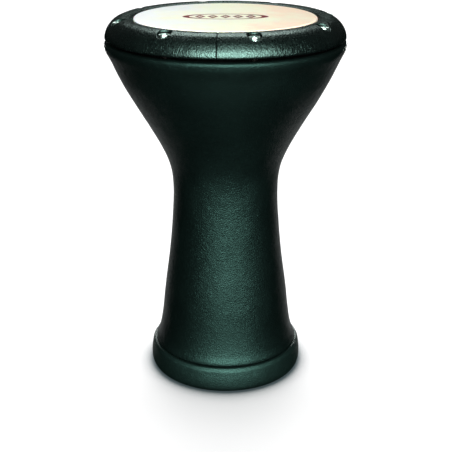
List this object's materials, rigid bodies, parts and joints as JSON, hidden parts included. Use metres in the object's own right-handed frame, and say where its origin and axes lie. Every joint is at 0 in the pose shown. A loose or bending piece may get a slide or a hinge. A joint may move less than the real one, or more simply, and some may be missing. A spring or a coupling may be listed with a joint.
{
  "type": "goblet drum",
  "caption": "Goblet-shaped hand drum (darbuka): leatherette-covered cast shell, film head, and a rounded tuning collar drawn down by recessed socket screws.",
  "frame": {"origin": "on the drum's axis, on the surface that the foot rim stands on", "axes": "+Z along the drum's axis, from the foot to the head; -Y is the front, where the collar's seam is"},
  "size_m": [0.2808, 0.2808, 0.4424],
  "materials": {
    "cast_aluminium": "raw sand casting, matt",
    "leatherette": "black pebble-grain leatherette, semi-gloss",
    "head_film": "translucent white polyester film, satin",
    "hoop_aluminium": "rolled channel, satin",
    "resin": "cast resin",
    "insert_steel": "zinc-plated, machined",
    "screw_chrome": "bright chrome plate"
  },
  "bodies": {
    "shell": {"shell_casting": "cast_aluminium", "body_cover": "leatherette", "base_band": "leatherette", "drum_head": "head_film", "thread_insert_1": "insert_steel", "thread_insert_2": "insert_steel", "thread_insert_3": "insert_steel", "thread_insert_4": "insert_steel", "thread_insert_5": "insert_steel", "thread_insert_6": "insert_steel", "thread_insert_7": "insert_steel", "thread_insert_8": "insert_steel"},
    "tuning_ring": {"collar_casting": "cast_aluminium", "collar_cover": "leatherette", "head_hoop": "hoop_aluminium", "hoop_resin": "resin", "washer_1": "screw_chrome", "washer_2": "screw_chrome", "washer_3": "screw_chrome", "washer_4": "screw_chrome", "washer_5": "screw_chrome", "washer_6": "screw_chrome", "washer_7": "screw_chrome", "washer_8": "screw_chrome"},
    "screw_1": {"tuning_screw_1": "screw_chrome"},
    "screw_2": {"tuning_screw_2": "screw_chrome"},
    "screw_3": {"tuning_screw_3": "screw_chrome"},
    "screw_4": {"tuning_screw_4": "screw_chrome"},
    "screw_5": {"tuning_screw_5": "screw_chrome"},
    "screw_6": {"tuning_screw_6": "screw_chrome"},
    "screw_7": {"tuning_screw_7": "screw_chrome"},
    "screw_8": {"tuning_screw_8": "screw_chrome"}
  },
  "joints": [
    {"name": "tuning_slide", "type": "slide", "parent": "shell", "child": "tuning_ring", "axis": [0, 0, -1], "range_m": [-0.002, 0.0025]},
    {"name": "screw_turn_1", "type": "hinge", "parent": "tuning_ring", "child": "screw_1", "pos_m": [0.02993, -0.12003, 0.431], "axis": [0, 0, -1], "range_deg": [-580, 724]},
    {"name": "screw_turn_2", "type": "hinge", "parent": "tuning_ring", "child": "screw_2", "pos_m": [0.10603, -0.06371, 0.431], "axis": [0, 0, -1], "range_deg": [-580, 724]},
    {"name": "screw_turn_3", "type": "hinge", "parent": "tuning_ring", "child": "screw_3", "pos_m": [0.12003, 0.02993, 0.431], "axis": [0, 0, -1], "range_deg": [-580, 724]},
    {"name": "screw_turn_4", "type": "hinge", "parent": "tuning_ring", "child": "screw_4", "pos_m": [0.06371, 0.10603, 0.431], "axis": [0, 0, -1], "range_deg": [-580, 724]},
    {"name": "screw_turn_5", "type": "hinge", "parent": "tuning_ring", "child": "screw_5", "pos_m": [-0.02993, 0.12003, 0.431], "axis": [0, 0, -1], "range_deg": [-580, 724]},
    {"name": "screw_turn_6", "type": "hinge", "parent": "tuning_ring", "child": "screw_6", "pos_m": [-0.10603, 0.06371, 0.431], "axis": [0, 0, -1], "range_deg": [-580, 724]},
    {"name": "screw_turn_7", "type": "hinge", "parent": "tuning_ring", "child": "screw_7", "pos_m": [-0.12003, -0.02993, 0.431], "axis": [0, 0, -1], "range_deg": [-580, 724]},
    {"name": "screw_turn_8", "type": "hinge", "parent": "tuning_ring", "child": "screw_8", "pos_m": [-0.06371, -0.10603, 0.431], "axis": [0, 0, -1], "range_deg": [-580, 724]}
  ],
  "couplings": [
    {"joint": "screw_turn_1", "follows": "tuning_slide", "rad_per_m": 5026.5},
    {"joint": "screw_turn_2", "follows": "tuning_slide", "rad_per_m": 5026.5},
    {"joint": "screw_turn_3", "follows": "tuning_slide", "rad_per_m": 5026.5},
    {"joint": "screw_turn_4", "follows": "tuning_slide", "rad_per_m": 5026.5},
    {"joint": "screw_turn_5", "follows": "tuning_slide", "rad_per_m": 5026.5},
    {"joint": "screw_turn_6", "follows": "tuning_slide", "rad_per_m": 5026.5},
    {"joint": "screw_turn_7", "follows": "tuning_slide", "rad_per_m": 5026.5},
    {"joint": "screw_turn_8", "follows": "tuning_slide", "rad_per_m": 5026.5}
  ]
}
